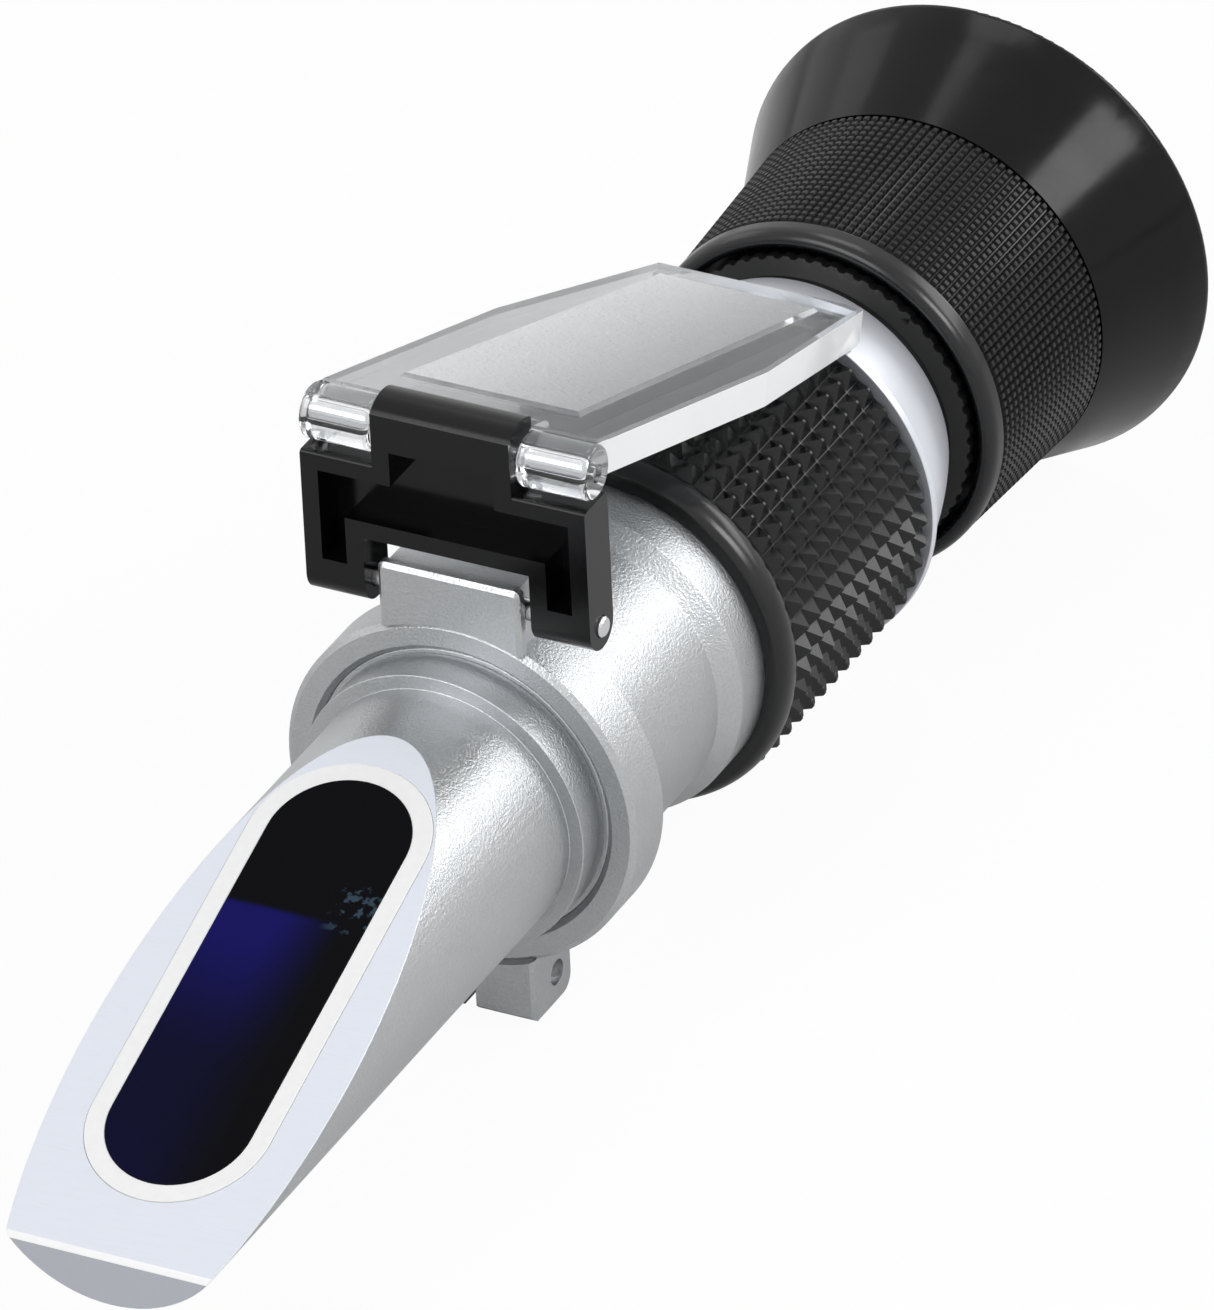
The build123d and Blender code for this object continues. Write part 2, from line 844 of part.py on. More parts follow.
# Eyepiece cell group
def ocular_cell():
    flange_start_y = cell_seat + cell_play
    flange_end = flange_start_y + cell_flange
    body = turned(
        (cell_bore - cell_lip, cell_start),
        (cell_radius, cell_start),
        (cell_radius, flange_start_y),
        (cell_flange_radius, flange_start_y),
        (cell_flange_radius, flange_end),
        (cell_tail_radius, flange_end),
        (cell_tail_radius, cell_end),
        (cell_bore, cell_end),
        (cell_bore, cell_start + cell_lip),
        (cell_bore - cell_lip, cell_start + cell_lip),
    )
    hole = Pos(0, key_y, -cell_radius) * Cylinder(key_radius + fit_gap, 3 * cell_wall)
    return body - hole


def field_lens():
    start = cell_start + cell_lip + fit_gap
    return lens(start, lens_edge, lens_radius, lens_seat, shallow_crown, field_crown)


def eye_lens_start():
    return cell_end - lens_ring_length - lens_edge - 2 * fit_gap


def lens_spacer():
    start = cell_start + cell_lip + lens_edge + 2 * fit_gap
    return ring(start, eye_lens_start() - fit_gap, lens_radius, lens_radius - cell_lip)


def eye_lens():
    return lens(
        eye_lens_start(), lens_edge, lens_radius, lens_seat, eye_crown, shallow_crown
    )


def eye_lens_retainer():
    start = eye_lens_start() + lens_edge + fit_gap
    return ring(start, cell_end, lens_radius, lens_radius - cell_lip)


def key_screw():
    """Screw in the cell's wall that rides in the tube's straight slot."""
    top = -cell_bore - fit_gap
    bottom = -tube_radius + fit_gap
    return upright_rod(bottom, top, key_y, key_radius)


# Focusing ring group
def focus_ring():
    bore = tube_radius + focus_gap
    opening = serrated_radius + side_gap
    bead_end = focus_start + focus_bead_length
    recess_end = focus_start + focus_recess + focus_forward
    row = (focus_end - bead_end) / knurl_rows
    slope = focus_flare / (focus_end - bead_end)
    bead_middle = ((opening + focus_radius) / 2, focus_start)
    lip_y = focus_start + focus_bead_length / 2
    outline = [(focus_radius, lip_y), (focus_radius, bead_end - knurl_depth)]
    for number in range(knurl_rows):
        middle = bead_end + (number + 0.5) * row
        tip_radius = focus_radius + slope * (middle - bead_end)
        outline.append((tip_radius - knurl_depth, bead_end + number * row))
        outline.append((tip_radius, middle - knurl_flat / 2 * row))
        outline.append((tip_radius, middle + knurl_flat / 2 * row))
    outline += [
        (focus_rear_radius - knurl_depth, focus_end),
        (counterbore_radius, focus_end),
        (counterbore_radius, cell_seat),
        (bore, cell_seat),
        (bore, recess_end),
        (opening, recess_end),
        (opening, lip_y),
    ]
    bead = ThreePointArc((opening, lip_y), bead_middle, (focus_radius, lip_y))
    return revolve(make_face([Polyline(*outline), bead]), Axis.Y)


def cell_keeper():
    """Ring that keeps the eyepiece cell in the focusing ring."""
    outer = counterbore_radius - fit_gap
    return ring(keeper_start, keeper_start + keeper_length, outer, cell_tail_radius + side_gap / 2)


def eyecup():
    spigot = counterbore_radius - fit_gap
    spigot_start = keeper_start + keeper_length + cell_play
    web_start = max(cup_start, cell_end) + side_gap
    web_end = web_start + cup_web
    flare = cup_flare / (cup_length - cup_land)
    bowl_radius = focus_rear_radius + flare * (web_end - cup_start) - cup_wall
    body = turned(
        (spigot - cup_spigot_wall, spigot_start),
        (spigot, spigot_start),
        (spigot, cup_start),
        (focus_rear_radius, cup_start),
        (cup_radius, cup_end - cup_land),
        (cup_radius, cup_end),
        (cup_radius - cup_wall, cup_end),
        (cup_radius - cup_wall, cup_end - cup_land),
        (bowl_radius, web_end),
        (cup_opening, web_end),
        (cup_opening, web_start),
        (spigot - cup_spigot_wall, web_start),
    )
    circles = body.edges().filter_by(GeomType.CIRCLE)
    return fillet(circles.group_by(Axis.Y)[-1], cup_round)


PIECES = {
    "prism_housing": prism_housing,
    "main_prism": main_prism,
    "prism_bezel": prism_bezel,
    "prism_mask": prism_mask,
    "prism_retainer": prism_retainer,
    "housing_seal": housing_seal,
    "clamp_collar": clamp_collar,
    "clamp_screw": clamp_screw,
    "bracket_pin": bracket_pin,
    "flap_bracket": flap_bracket,
    "plate_pin": plate_pin,
    "daylight_plate": daylight_plate,
    "barrel": barrel,
    "grip_sleeve": grip_sleeve,
    "rear_ring": rear_ring,
    "eyepiece_tube": eyepiece_tube,
    "serrated_ring": serrated_ring,
    "reticle_ring": reticle_ring,
    "reticle": reticle,
    "reticle_retainer": reticle_retainer,
    "baffle_ring": baffle_ring,
    "guide_ring": guide_ring,
    "calibration_bush": calibration_bush,
    "calibration_screw": calibration_screw,
    "calibration_cap": calibration_cap,
    "adjuster_block": adjuster_block,
    "bimetal_strip": bimetal_strip,
    "strip_rivets": strip_rivets,
    "objective_cell": objective_cell,
    "objective_lens": objective_lens,
    "objective_retainer": objective_retainer,
    "ocular_cell": ocular_cell,
    "field_lens": field_lens,
    "lens_spacer": lens_spacer,
    "eye_lens": eye_lens,
    "eye_lens_retainer": eye_lens_retainer,
    "key_screw": key_screw,
    "focus_ring": focus_ring,
    "cell_keeper": cell_keeper,
    "eyecup": eyecup,
}

# The model's origin is under its middle, at the height of the eyecup's lowest point
middle_y = (tip + cup_end) / 2
stand = Pos(0, -middle_y, cup_radius)

os.makedirs("parts", exist_ok=True)
for name, make_piece in PIECES.items():
    export_step(stand * make_piece(), f"parts/{name}.step")
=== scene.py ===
# %% [markdown]
# A handheld refractometer, dressed in Blender.
# The solid model holds the sizes and the joints. This notebook gives each piece its finish:
# rounded edges, moulded studs, a knurl, and a material with the grain that the real surface shows.
# Every mesh stays in the solid model's frame, in metres, so nothing is placed by eye.

# %% Load the frame
import json
from math import atan2, cos, pi, radians, sin

import bmesh
import bpy
from mathutils import Matrix, Vector

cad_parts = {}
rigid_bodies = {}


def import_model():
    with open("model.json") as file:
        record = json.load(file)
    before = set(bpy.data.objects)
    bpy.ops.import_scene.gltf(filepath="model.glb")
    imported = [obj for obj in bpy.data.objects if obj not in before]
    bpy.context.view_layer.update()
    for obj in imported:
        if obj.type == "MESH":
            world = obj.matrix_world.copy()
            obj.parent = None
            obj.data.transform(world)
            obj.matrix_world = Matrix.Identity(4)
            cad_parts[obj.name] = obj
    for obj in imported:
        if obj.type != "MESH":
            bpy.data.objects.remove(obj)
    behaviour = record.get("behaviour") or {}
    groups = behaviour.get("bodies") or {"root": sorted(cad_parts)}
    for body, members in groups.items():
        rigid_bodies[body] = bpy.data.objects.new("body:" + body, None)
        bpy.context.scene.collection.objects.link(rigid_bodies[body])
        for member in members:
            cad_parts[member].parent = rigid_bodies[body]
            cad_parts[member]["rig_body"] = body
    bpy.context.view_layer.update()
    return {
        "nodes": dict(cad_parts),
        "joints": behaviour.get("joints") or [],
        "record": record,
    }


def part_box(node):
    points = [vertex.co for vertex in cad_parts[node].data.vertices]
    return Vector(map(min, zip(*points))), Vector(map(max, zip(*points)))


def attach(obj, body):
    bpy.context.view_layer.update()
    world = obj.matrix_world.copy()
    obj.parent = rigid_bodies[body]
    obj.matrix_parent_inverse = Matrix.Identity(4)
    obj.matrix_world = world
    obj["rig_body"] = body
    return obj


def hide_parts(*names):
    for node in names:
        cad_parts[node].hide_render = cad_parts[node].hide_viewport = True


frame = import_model()
mm = 0.001

# %% [markdown]
# The eyecup is a solid of revolution, so the middle of its box lies on the optical axis.
# Most other pieces are round about the same line, and their radii can be read from their boxes.

# %% Find the optical axis
cup_low, cup_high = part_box("eyecup")
axis_height = (cup_low.z + cup_high.z) / 2


def outer_radius(node):
    """Largest radius of a round piece, from the width of its box."""
    low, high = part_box(node)
    return (high.x - low.x) / 2


print("axis height", round(axis_height / mm, 3), "mm")

# %% [markdown]
# Product pictures are taken from far away with a long lens, which keeps parallel edges parallel.
# The camera looks down on the instrument from its front right, and leans a little to one side.
# A camera in Blender looks along its own minus Z, so its axes are built from the line of sight.

# %% Camera
view_azimuth = radians(28.26)
view_elevation = radians(32.02)
view_lean = radians(-2.85)
view_distance = 1.512
view_target = Vector((0.00768, -0.00604, 0.02832))
lens_length = 549.6
sensor_width = 36
far_clip = 20


def line_of_sight(azimuth, elevation):
    """Unit vector from the camera towards the object."""
    level = cos(elevation)
    return Vector((-sin(azimuth) * level, cos(azimuth) * level, -sin(elevation)))


def make_camera():
    forward = line_of_sight(view_azimuth, view_elevation)
    level_right = Vector((cos(view_azimuth), sin(view_azimuth), 0))
    level_up = level_right.cross(forward)
    right = cos(view_lean) * level_right + sin(view_lean) * level_up
    up = right.cross(forward)
    camera = bpy.data.objects.new("camera", bpy.data.cameras.new("camera"))
    camera.data.lens = lens_length
    camera.data.sensor_width = sensor_width
    camera.data.clip_end = far_clip
    turn = Matrix((right, up, -forward)).transposed().to_4x4()
    camera.matrix_world = Matrix.Translation(view_target - forward * view_distance) @ turn
    bpy.context.scene.collection.objects.link(camera)
    bpy.context.scene.camera = camera


make_camera()
bpy.context.scene.view_settings.view_transform = "Standard"

# %% [markdown]
# Shader graphs get long when each Math node is made by hand.
# This small class wraps a socket, so that a sum or a product written in Python adds its own node.
# The Finish class below it owns one material and adds any other kind of node in one call.


# %% Shader arithmetic
class Wire:
    """A socket that can be used in arithmetic."""

    def __init__(self, finish, socket):
        self.finish = finish
        self.socket = socket

    def maths(self, operation, *others):
        values = dict(enumerate((self, *others)))
        return self.finish.add("ShaderNodeMath", {"operation": operation}, values)

    def __add__(self, other):
        return self.maths("ADD", other)

    def __mul__(self, other):
        return self.maths("MULTIPLY", other)

    def __sub__(self, other):
        return self.maths("SUBTRACT", other)

    def __rsub__(self, other):
        return self.finish.add("ShaderNodeMath", {"operation": "SUBTRACT"}, {0: other, 1: self})

    def __pow__(self, other):
        return self.maths("POWER", other)

    __radd__ = __add__
    __rmul__ = __mul__

    def steps_over(self, edge, softness):
        """0 well below the edge, 1 well above it, and a ramp between."""
        settings = {"interpolation_type": "SMOOTHSTEP"}
        values = {0: self, 1: edge - softness, 2: edge + softness}
        return self.finish.add("ShaderNodeMapRange", settings, values)


class Finish:
    """One material with a Principled shader."""

    def __init__(self, name, **fixed):
        self.material = bpy.data.materials.new(name)
        self.material.use_nodes = True
        self.tree = self.material.node_tree
        self.shader = self.tree.nodes["Principled BSDF"]
        for socket_name, value in fixed.items():
            self.shader.inputs[socket_name.replace("_", " ")].default_value = value

    def add(self, kind, settings=None, values=None, output=0):
        node = self.tree.nodes.new(kind)
        for key, value in (settings or {}).items():
            setattr(node, key, value)
        for key, value in (values or {}).items():
            self.join(node.inputs[key], value)
        return Wire(self, node.outputs[output])

    def join(self, socket, value):
        if isinstance(value, Wire):
            self.tree.links.new(value.socket, socket)
        else:
            socket.default_value = value

    def use(self, **wires):
        """Feeds wires to the shader's own sockets."""
        for socket_name, wire in wires.items():
            self.join(self.shader.inputs[socket_name.replace("_", " ")], wire)
        return self.material

    def place(self, centre=(0, 0, 0)):
        """Object coordinates in millimetres, measured from a centre given in metres."""
        coordinates = self.add("ShaderNodeTexCoord", output="Object")
        shifted = self.add(
            "ShaderNodeVectorMath", {"operation": "SUBTRACT"}, {0: coordinates, 1: centre}
        )
        return self.add(
            "ShaderNodeVectorMath", {"operation": "SCALE"}, {0: shifted, "Scale": 1 / mm}
        )

    def split(self, vector):
        """The three numbers of a vector."""
        node = self.tree.nodes.new("ShaderNodeSeparateXYZ")
        self.join(node.inputs[0], vector)
        return [Wire(self, socket) for socket in node.outputs]

    def noise(self, where, scale, detail=2.0, roughness=0.5):
        values = {"Vector": where, "Scale": scale, "Detail": detail, "Roughness": roughness}
        return self.add("ShaderNodeTexNoise", None, values)

    def blend(self, amount, first, second):
        """Mix of two colours."""
        settings = {"data_type": "RGBA"}
        values = {0: amount, 6: first, 7: second}
        return self.add("ShaderNodeMix", settings, values, output=2)

    def bump(self, height, strength, distance=0.0001):
        values = {"Height": height, "Strength": strength, "Distance": distance}
        return self.add("ShaderNodeBump", None, values)


def grey(level, tint=0.0):
    """Opaque grey; a positive tint is bluish."""
    return (level * (1 - tint), level, level * (1 + tint), 1.0)


# %% [markdown]
# The housing, the collar and the barrel are aluminium that was blasted with fine sand.
# Blasting leaves shallow pits about a tenth of a millimetre across: they scatter the reflection,
# and each pit catches light by itself, which reads as a fine sparkle rather than as flat paint.


# %% Sand-blasted aluminium
def blasted_alloy(name, level, roughness):
    finish = Finish(name, Metallic=1.0)
    where = finish.place()
    pits = finish.noise(where, 4.6, 2.0, 0.6)
    clouds = finish.noise(where, 0.35, 2.0)
    speckle = (pits - 0.5) * 0.8 + (clouds - 0.5) * 0.15
    shade = finish.blend(speckle + 0.5, grey(level * 0.80, 0.03), grey(level * 1.2, 0.02))
    rough = (pits - 0.5) * 0.25 + roughness
    normal = finish.bump(pits, 1.0, 0.00006)
    return finish.use(Base_Color=shade, Roughness=rough, Normal=normal)


silver = blasted_alloy("sandblasted_alloy", 0.50, 0.36)

# %% [markdown]
# The ring behind the grip is turned and not blasted. A turned face is smoother and carries very
# fine tool lines, which a noise that is squeezed along one direction draws well.
# The cut faces of the nose are matt and pale in daylight, closer to paint than to a mirror,
# so they mix a little metal into a plain diffuse colour. The end face is the same cut metal in a
# darker grey, which is painted shade, and the thin edge at the tip is near-white, a painted
# highlight.


# %% Cut aluminium
def cut_alloy(name, colour, metallic, roughness, squeeze):
    finish = Finish(name, Metallic=metallic)
    where = finish.place()
    drawn = finish.add("ShaderNodeVectorMath", {"operation": "MULTIPLY"}, {0: where, 1: squeeze})
    lines = finish.noise(drawn, 1.0, 2.0)
    darker = [part * 0.97 for part in colour[:3]] + [1.0]
    lighter = [part * 1.03 for part in colour[:3]] + [1.0]
    shade = finish.blend(lines, darker, lighter)
    rough = (lines - 0.5) * 0.12 + roughness
    return finish.use(Base_Color=shade, Roughness=rough, Normal=finish.bump(lines, 0.08, 0.00003))


turned_silver = cut_alloy("turned_alloy", (0.78, 0.80, 0.86, 1), 0.6, 0.34, (0.4, 9.0, 0.4))
slope_silver = cut_alloy("cut_slope", (0.77, 0.805, 0.885, 1), 0.1, 0.50, (0.5, 6.0, 6.0))
# Painted shade: the end face is the same cut metal as the slope, in a darker grey.
end_painted_shade = cut_alloy("cut_end_painted_shade", (0.47, 0.49, 0.54, 1), 0.2, 0.50, (6.0, 0.5, 0.5))
# Painted highlight: the thin edge at the tip is near-white.
tip_painted_highlight = cut_alloy("cut_edge_painted_highlight", (0.95, 0.95, 0.96, 1), 0.1, 0.40, (6.0, 0.5, 0.5))


# %% [markdown]
# Rubber and moulded plastic are nearly black, so their look is all in the highlight.
# A slow noise varies the gloss, as handling does, and a fine one gives the moulded grain.


# %% Black mouldings
def black_moulding(name, level, roughness, grain, grain_strength, specular):
    finish = Finish(name, Specular_IOR_Level=specular)
    where = finish.place()
    wear = finish.noise(where, 0.25, 3.0)
    pores = finish.noise(where, grain, 2.0)
    shade = finish.blend(wear, grey(level * 0.8), grey(level * 1.3, 0.03))
    rough = (wear - 0.5) * 0.16 + (pores - 0.5) * 0.08 + roughness
    normal = finish.bump(pores, grain_strength, 0.00005)
    return finish.use(Base_Color=shade, Roughness=rough, Normal=normal)


stud_rubber = black_moulding("grip_rubber", 0.005, 0.24, 6.0, 0.20, 0.40)
bead_rubber = black_moulding("bead_rubber", 0.005, 0.22, 4.0, 0.06, 0.45)
knurl_rubber = black_moulding("knurled_rubber", 0.006, 0.36, 8.0, 0.15, 0.25)
cup_black = black_moulding("cup_plastic", 0.003, 0.16, 3.0, 0.02, 0.18)
gloss_black = black_moulding("black_plastic", 0.003, 0.16, 2.5, 0.03, 0.25)
satin_black = black_moulding("black_plastic_satin", 0.009, 0.42, 6.0, 0.12, 0.25)
inside_black = black_moulding("black_metal", 0.010, 0.55, 5.0, 0.20, 0.3)


# %% [markdown]
# Pins and screws are plated steel with a soft polish, and the strip and the block inside are
# rolled and machined stock. One function covers all of them, with the colour as its argument.


# %% Steel and brass
def plain_metal(name, colour, roughness, lines):
    finish = Finish(name, Metallic=1.0)
    where = finish.place()
    drawn = finish.add("ShaderNodeVectorMath", {"operation": "MULTIPLY"}, {0: where, 1: lines})
    scratches = finish.noise(drawn, 2.0, 3.0)
    darker = [c * 0.82 for c in colour[:3]] + [1.0]
    shade = finish.blend(scratches, darker, colour)
    rough = (scratches - 0.5) * 0.15 + roughness
    return finish.use(Base_Color=shade, Roughness=rough)


steel = plain_metal("bright_steel", (0.74, 0.74, 0.75, 1), 0.20, (0.3, 4.0, 4.0))
strip_steel = plain_metal("strip_steel", (0.62, 0.58, 0.52, 1), 0.35, (5.0, 0.3, 5.0))
brass = plain_metal("plain_brass", (0.78, 0.60, 0.30, 1), 0.28, (4.0, 4.0, 0.5))

# %% [markdown]
# The prism is clear glass over a blackened pocket, so it looks almost black. It is drawn as an
# opaque colour, and the deep blue cast where daylight gets in is painted light; the nearer end is
# bluer. About a third of the way down from the upper end, the painted blue stops at a straight line,
# a painted view of the edge of the prism's back face through the glass. Pale flecks near that
# line are painted glints.

# %% Prism glass
prism_low, prism_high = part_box("main_prism")
prism_middle = (prism_low + prism_high) / 2
# Places of the painted back-edge line, the painted blue glow and the painted glints, in mm.
painted_back_edge_line = 5.0
painted_glow_edge = 1.2
glint_left = 2.6
glint_near = 4.6
glint_far = 8.6


def prism_glass():
    finish = Finish("prism_glass", Specular_IOR_Level=0.06)
    across, along, _ = finish.split(finish.place(prism_middle))
    drift = finish.noise(finish.place(), 0.09, 1.0)
    # Painted light: a blue glow below the painted back-edge line, fading to the right and growing
    # along the prism, over near-black.
    near = 1 - along.steps_over(painted_back_edge_line, 0.35)
    left = 1 - across.steps_over(painted_glow_edge, 3.2)
    rise = along.steps_over(-1.0, 8.0) * 0.95 + 0.2
    painted_glow = near * left * rise * (drift * 0.5 + 0.75)
    painted_glow_colour = finish.blend(painted_glow, (0.0003, 0.0003, 0.002, 1), (0.005, 0.004, 0.11, 1))
    # Painted glints: pale flecks in a patch to the right, near the painted back-edge line.
    painted_glints = finish.noise(finish.place(), 1.1, 3.0).steps_over(0.60, 0.04)
    glint_patch = across.steps_over(glint_left, 0.5) * along.steps_over(glint_near, 0.8)
    glint_patch = glint_patch * (1 - along.steps_over(glint_far, 0.8))
    shade = finish.blend(painted_glints * glint_patch * 0.2, painted_glow_colour, (0.16, 0.30, 0.42, 1))
    return finish.use(Base_Color=shade, Roughness=drift * 0.03 + 0.03)


prism_painted_glow = prism_glass()

# %% [markdown]
# The seal round the prism is a matt white compound, and the lenses are clear with the faint
# tint of a coating.

# %% Seal and lenses
white_finish = Finish("white_seal", Roughness=0.6)
white_grain = white_finish.noise(white_finish.place(), 1.5)
white_shade = white_finish.blend(white_grain, grey(0.90), grey(0.97))
white_seal = white_finish.use(Base_Color=white_shade)

lens_finish = Finish("lens_glass", IOR=1.52, Transmission_Weight=1.0)
lens_tint = lens_finish.noise(lens_finish.place(), 0.1)
lens_shade = lens_finish.blend(lens_tint, (0.93, 0.96, 0.99, 1), (0.97, 0.98, 1.0, 1))
lens_glass = lens_finish.use(Base_Color=lens_shade, Roughness=lens_tint * 0.02)

# %% [markdown]
# The daylight plate is one clear moulding, but it doesn't look the same all over.
# Its pad is frosted so that it spreads daylight over the sample, its border is polished,
# and its edges gather light and glow white; that glow is painted, as a near-white colour with
# little transmission. The pad and the border also get painted shade, darker towards the plate's
# right side. Each region gets a material of its own.


# %% Clear and frosted acrylic
def acrylic(name, level, roughness, transmission, grain, strength, depth, right_shade_level=None):
    """One finish of the plate; a given right level adds painted shade, fading it to that grey at the
    plate's right side.
    """
    finish = Finish(name, IOR=1.49, Transmission_Weight=transmission)
    where = finish.place()
    frost = finish.noise(where, grain, 3.0, 0.6)
    haze = finish.noise(where, 0.12, 1.0)
    shade = finish.blend(haze, grey(level * 0.94, 0.02), grey(min(level * 1.05, 1.0), 0.01))
    if right_shade_level:
        # Painted shade: the colour darkens towards the plate's right side.
        painted_shade_to_right = finish.split(where)[0].steps_over(1.0, 10.0)
        shade = finish.blend(painted_shade_to_right, shade, grey(right_shade_level, 0.03))
    rough = (frost - 0.5) * roughness * 0.5 + roughness
    return finish.use(Base_Color=shade, Roughness=rough, Normal=finish.bump(frost, strength, depth))


clear_acrylic = acrylic("clear_acrylic", 0.97, 0.02, 1.0, 0.5, 0.01, 0.0001)
border_acrylic = acrylic("border_acrylic", 0.97, 0.05, 0.88, 0.4, 0.02, 0.0001, 0.70)
frosted_acrylic = acrylic("frosted_acrylic", 0.99, 0.36, 0.25, 2.2, 1.0, 0.0004, 0.50)
# Painted glow: the edges get a near-white colour with little transmission.
edge_painted_glow_acrylic = acrylic("edge_painted_glow_acrylic", 0.99, 0.10, 0.15, 0.4, 0.02, 0.0001)

# %% [markdown]
# A mesh that comes from a solid modeller is a heap of separate triangles with knife edges.
# Real edges are always a little broken, and that thin bevel is what catches the light.
# So a copy of the mesh is merged, its flat areas are joined into single faces, and a narrow
# bevel with weighted normals is added. The copy then stands for the solid in the picture.


# %% Rounded copies of the solid pieces
def tidy_mesh(node):
    """A merged copy of a solid's mesh, with one face where many triangles lie flat."""
    work = bmesh.new()
    work.from_mesh(frame["nodes"][node].data)
    bmesh.ops.remove_doubles(work, verts=work.verts, dist=0.002 * mm)
    bmesh.ops.dissolve_limit(
        work, angle_limit=radians(0.05), verts=work.verts, edges=work.edges
    )
    mesh = bpy.data.meshes.new(node + "_shown")
    work.to_mesh(mesh)
    work.free()
    return mesh


def as_plain_mesh(source):
    """Replaces an object's modifiers by the mesh that they make."""
    depsgraph = bpy.context.evaluated_depsgraph_get()
    result = bpy.data.meshes.new_from_object(source.evaluated_get(depsgraph))
    source.modifiers.clear()
    source.data = result
    return source


def new_object(name, mesh):
    made = bpy.data.objects.new(name, mesh)
    bpy.context.scene.collection.objects.link(made)
    return made


def show(piece, node):
    """Lets a finished piece stand for a solid, on the solid's own body."""
    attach(piece, frame["nodes"][node]["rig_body"])
    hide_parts(node)
    print(piece.name, len(piece.data.polygons), "faces")
    return piece


def rounded(node, materials, width, choose=None, sharp=32):
    """A copy of a solid with broken edges; choose(face) gives a face's material number."""
    piece = new_object(node + "_shown", tidy_mesh(node))
    for material in materials:
        piece.data.materials.append(material)
    for face in piece.data.polygons:
        face.use_smooth = True
        if choose:
            face.material_index = choose(face)
    piece.data.set_sharp_from_angle(angle=radians(sharp))
    bevel = piece.modifiers.new("bevel", "BEVEL")
    bevel.width = width * mm
    bevel.segments = 2
    bevel.limit_method = "ANGLE"
    bevel.angle_limit = radians(sharp)
    bevel.use_clamp_overlap = True
    normals = piece.modifiers.new("normals", "WEIGHTED_NORMAL")
    normals.keep_sharp = True
    return show(as_plain_mesh(piece), node)


# %% [markdown]
# The nose is one casting with three finishes. Its sloping face and its end face are flat cuts,
# so a face's normal tells which finish it has. The end face's darker grey is painted shade,
# and the thin edge at the tip is painted near-white as a highlight.

# %% Prism nose
record = frame["record"]
slope_normal = Vector(record["mounts"][0]["axis"])
slope_point = Vector(record["mounts"][0]["pos_m"])
nose_low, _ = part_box("prism_housing")
flat_cosine = 0.999
slope_tolerance = 0.3 * mm
end_depth = 0.1 * mm
tip_edge_depth = 0.6 * mm
cast_face, slope_face, end_face, tip_edge = range(4)


def nose_region(face):
    """Number of a face's finish, in the order of the materials below."""
    offset = (face.center - slope_point).dot(slope_normal)
    if face.normal.dot(slope_normal) > flat_cosine and abs(offset) < slope_tolerance:
        return slope_face
    from_tip = face.center.y - nose_low.y
    if from_tip < end_depth:
        return end_face
    leans_forward = face.normal.z > 0.3 and face.normal.y < -0.5
    if from_tip < tip_edge_depth and leans_forward:
        return tip_edge
    return cast_face


# The end face's finish carries painted shade, and the tip edge's finish a painted highlight.
rounded(
    "prism_housing",
    [silver, slope_silver, end_painted_shade, tip_painted_highlight],
    0.06,
    nose_region,
    sharp=12,
)
rounded("main_prism", [prism_painted_glow], 0.08)
rounded("prism_bezel", [white_seal], 0.04)

# %% [markdown]
# The collar, the barrel and the ring behind the grip keep one finish each.

# %% Collar, barrel and rear ring
rounded("clamp_collar", [silver], 0.14)
rounded("barrel", [silver], 0.12)
rounded("rear_ring", [turned_silver], 0.08)
rounded("clamp_screw", [steel], 0.05)
rounded("bracket_pin", [steel], 0.04)
rounded("plate_pin", [steel], 0.04)

# %% [markdown]
# The bracket is a glossy black moulding with a sunk front panel. Its long straight edges are
# the brightest thing on it, so it gets a wider bevel than the metal pieces.

# %% Bracket
rounded("flap_bracket", [gloss_black], 0.16)

# %% [markdown]
# On the plate, the height above the hinge plane tells the pad from the border. The two clear
# knuckles are within a knuckle's radius of the hinge axis, and the rest of the sides are edges.

# %% Daylight plate
joints = {joint["name"]: joint for joint in frame["joints"]}
hinge = Vector(joints["plate_hinge"]["pos_m"])
knuckle_reach = 2.3 * mm
knuckle_start = 5.9 * mm
pad_level = 2.6 * mm
pad_cosine = 0.99
cover_cosine = 0.6
knuckle, border, pad, edge = range(4)


def plate_slope():
    """Angle below level of the open plate, from the turn that would close it."""
    closed = radians(joints["plate_hinge"]["range_deg"][1] + joints["bracket_hinge"]["range_deg"][1])
    fall = atan2(-slope_normal.y, slope_normal.z)
    return closed - pi - fall


plate_up = Vector((0, sin(plate_slope()), cos(plate_slope())))


def plate_region(face):
    """Number of a face's finish, in the order of the materials below."""
    offset = face.center - hinge
    near_hinge = Vector((0, offset.y, offset.z)).length < knuckle_reach
    if near_hinge and abs(face.center.x) > knuckle_start:
        return knuckle
    facing = face.normal.dot(plate_up)
    if facing > pad_cosine and offset.dot(plate_up) > pad_level:
        return pad
    if abs(facing) > cover_cosine:
        return border
    return edge


rounded(
    "daylight_plate",
    [clear_acrylic, border_acrylic, frosted_acrylic, edge_painted_glow_acrylic],
    0.16,
    plate_region,
)

# %% [markdown]
# Turned pieces with studs are made in two steps. First a profile of (radius, distance) points
# is swept round the axis into a closed ring, and then studs are added to it by Geometry Nodes.


